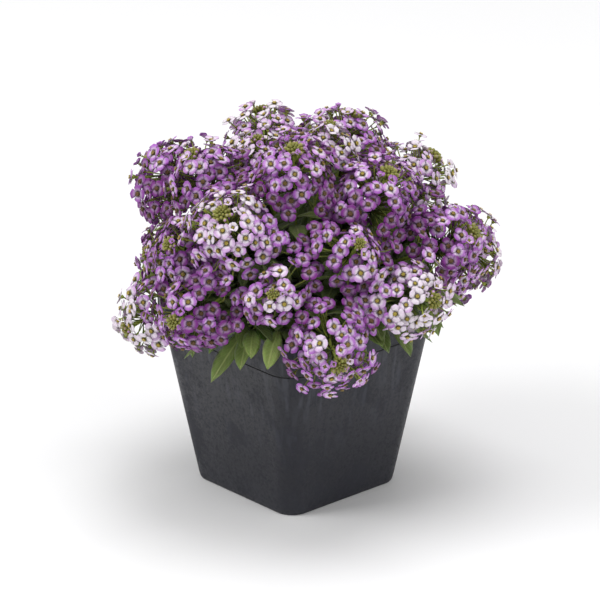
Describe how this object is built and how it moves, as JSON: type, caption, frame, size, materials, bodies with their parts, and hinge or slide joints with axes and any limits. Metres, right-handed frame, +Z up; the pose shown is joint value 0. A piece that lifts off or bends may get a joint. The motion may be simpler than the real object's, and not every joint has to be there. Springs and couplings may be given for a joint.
{
  "type": "sweet alyssum in a square nursery pot",
  "caption": "Mounded bedding plant with dense round heads of small lilac four-petalled flowers on leafy stems, rooted in a square tapered black nursery pot.",
  "frame": {"origin": "middle of the pot's flat underside, which rests on the ground", "axes": "+Z up, X and Y square to the pot's four sides; the pot's corner between +X and -Y is the one seen first"},
  "size_m": [0.1508, 0.1498, 0.1576],
  "materials": {
    "pot_plastic": "satin",
    "potting_mix": "matte",
    "leaf_green": "matte",
    "petals_white_lilac": "matte",
    "petals_lilac": "matte",
    "petals_purple": "matte"
  },
  "bodies": {
    "root": {"pot": "pot_plastic", "potting_soil": "potting_mix", "leafy_stem_1": "leaf_green", "leafy_stem_2": "leaf_green", "leafy_stem_3": "leaf_green", "leafy_stem_4": "leaf_green", "leafy_stem_5": "leaf_green", "leafy_stem_6": "leaf_green", "leafy_stem_7": "leaf_green", "leafy_stem_8": "leaf_green", "leafy_stem_9": "leaf_green", "flower_head_01": "petals_white_lilac", "flower_head_02": "petals_lilac", "flower_head_03": "petals_lilac", "flower_head_04": "petals_lilac", "flower_head_05": "petals_lilac", "flower_head_06": "petals_purple", "flower_head_07": "petals_lilac", "flower_head_08": "petals_lilac", "flower_head_09": "petals_white_lilac", "flower_head_10": "petals_purple", "flower_head_11": "petals_lilac", "flower_head_12": "petals_white_lilac", "flower_head_13": "petals_purple", "flower_head_14": "petals_purple", "flower_head_15": "petals_white_lilac", "flower_head_16": "petals_lilac", "flower_head_17": "petals_lilac", "flower_head_18": "petals_purple", "flower_head_19": "petals_white_lilac", "flower_head_20": "petals_purple", "flower_head_21": "petals_purple", "flower_head_22": "petals_lilac", "flower_head_23": "petals_purple", "flower_head_24": "petals_lilac", "flower_head_25": "petals_lilac", "flower_head_26": "petals_white_lilac"}
  },
  "joints": []
}
